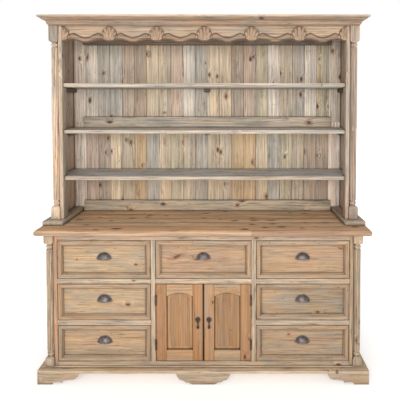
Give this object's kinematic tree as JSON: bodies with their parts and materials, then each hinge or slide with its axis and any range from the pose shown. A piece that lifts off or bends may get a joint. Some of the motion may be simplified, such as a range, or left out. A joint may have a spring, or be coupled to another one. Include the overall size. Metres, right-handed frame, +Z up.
{
  "type": "dresser with hutch",
  "caption": "Tall pine dresser: a drawer and cupboard base with cup pulls carries an open shelved hutch with plank back, carved valance, reeded columns and moulded cornice.",
  "frame": {"origin": "on the floor under the middle of the countertop", "axes": "+Z up, +X to the right seen from the front, the front faces -Y"},
  "size_m": [2.02, 0.55, 2.217],
  "materials": {
    "pine": "dry honey-coloured reclaimed pine",
    "pine_door": "warmer orange reclaimed pine",
    "pine_grey": "weathered grey reclaimed pine",
    "pine_planks": "mixed grey and beige reclaimed boards",
    "pine_inside": "plain sawn pine",
    "iron": "dark pewter-grey aged metal"
  },
  "bodies": {
    "carcass": {"countertop": "pine", "hutch_posts": "pine", "hutch_columns": "pine", "hutch_sides": "pine", "hutch_sleds": "pine_grey", "hutch_roof": "pine", "hutch_back_planks": "pine_planks", "hutch_back_rails": "pine_grey", "shelf_lower": "pine_grey", "shelf_middle": "pine_grey", "shelf_upper": "pine_grey", "shelf_supports": "pine_grey", "valance": "pine", "cornice": "pine", "base_posts": "pine", "base_columns": "pine", "base_sides": "pine", "partitions": "pine_inside", "base_floor": "pine_inside", "base_back_planks": "pine_planks", "face_frame": "pine", "plinth": "pine", "foot_left": "pine", "foot_right": "pine", "feet_rear": "pine", "foot_centre": "pine", "drawer_bearers": "pine_inside", "hinge_leaves": "iron", "door_catches": "iron", "cupboard_shelf": "pine_inside"},
    "drawer_left_top": {"drawer_left_top_front": "pine", "drawer_left_top_box": "pine_inside", "drawer_left_top_pull": "iron"},
    "drawer_left_middle": {"drawer_left_middle_front": "pine", "drawer_left_middle_box": "pine_inside", "drawer_left_middle_pull": "iron"},
    "drawer_left_bottom": {"drawer_left_bottom_front": "pine", "drawer_left_bottom_box": "pine_inside", "drawer_left_bottom_pull": "iron"},
    "drawer_centre": {"drawer_centre_front": "pine", "drawer_centre_box": "pine_inside", "drawer_centre_pull": "iron"},
    "drawer_right_top": {"drawer_right_top_front": "pine", "drawer_right_top_box": "pine_inside", "drawer_right_top_pull": "iron"},
    "drawer_right_middle": {"drawer_right_middle_front": "pine", "drawer_right_middle_box": "pine_inside", "drawer_right_middle_pull": "iron"},
    "drawer_right_bottom": {"drawer_right_bottom_front": "pine", "drawer_right_bottom_box": "pine_inside", "drawer_right_bottom_pull": "iron"},
    "door_left": {"door_left_frame": "pine_door", "door_left_panel": "pine_door", "door_left_hardware": "iron"},
    "door_left_pull": {"door_left_drop": "iron"},
    "door_right": {"door_right_frame": "pine_door", "door_right_panel": "pine_door", "door_right_hardware": "iron"},
    "door_right_pull": {"door_right_drop": "iron"}
  },
  "joints": [
    {"name": "drawer_left_top_slide", "type": "slide", "parent": "carcass", "child": "drawer_left_top", "axis": [0, -1, 0], "range_m": [0, 0.33]},
    {"name": "drawer_left_middle_slide", "type": "slide", "parent": "carcass", "child": "drawer_left_middle", "axis": [0, -1, 0], "range_m": [0, 0.33]},
    {"name": "drawer_left_bottom_slide", "type": "slide", "parent": "carcass", "child": "drawer_left_bottom", "axis": [0, -1, 0], "range_m": [0, 0.33]},
    {"name": "drawer_centre_slide", "type": "slide", "parent": "carcass", "child": "drawer_centre", "axis": [0, -1, 0], "range_m": [0, 0.33]},
    {"name": "drawer_right_top_slide", "type": "slide", "parent": "carcass", "child": "drawer_right_top", "axis": [0, -1, 0], "range_m": [0, 0.33]},
    {"name": "drawer_right_middle_slide", "type": "slide", "parent": "carcass", "child": "drawer_right_middle", "axis": [0, -1, 0], "range_m": [0, 0.33]},
    {"name": "drawer_right_bottom_slide", "type": "slide", "parent": "carcass", "child": "drawer_right_bottom", "axis": [0, -1, 0], "range_m": [0, 0.33]},
    {"name": "door_left_swing", "type": "hinge", "parent": "carcass", "child": "door_left", "pos_m": [-0.2875, -0.2288, 0.357], "axis": [0, 0, -1], "range_deg": [0, 90]},
    {"name": "door_left_drop_swing", "type": "hinge", "parent": "door_left", "child": "door_left_pull", "pos_m": [-0.034, -0.2331, 0.376], "axis": [1, 0, 0], "range_deg": [-60, 0]},
    {"name": "door_right_swing", "type": "hinge", "parent": "carcass", "child": "door_right", "pos_m": [0.2875, -0.2288, 0.357], "axis": [0, 0, 1], "range_deg": [0, 90]},
    {"name": "door_right_drop_swing", "type": "hinge", "parent": "door_right", "child": "door_right_pull", "pos_m": [0.034, -0.2331, 0.376], "axis": [1, 0, 0], "range_deg": [-60, 0]}
  ]
}
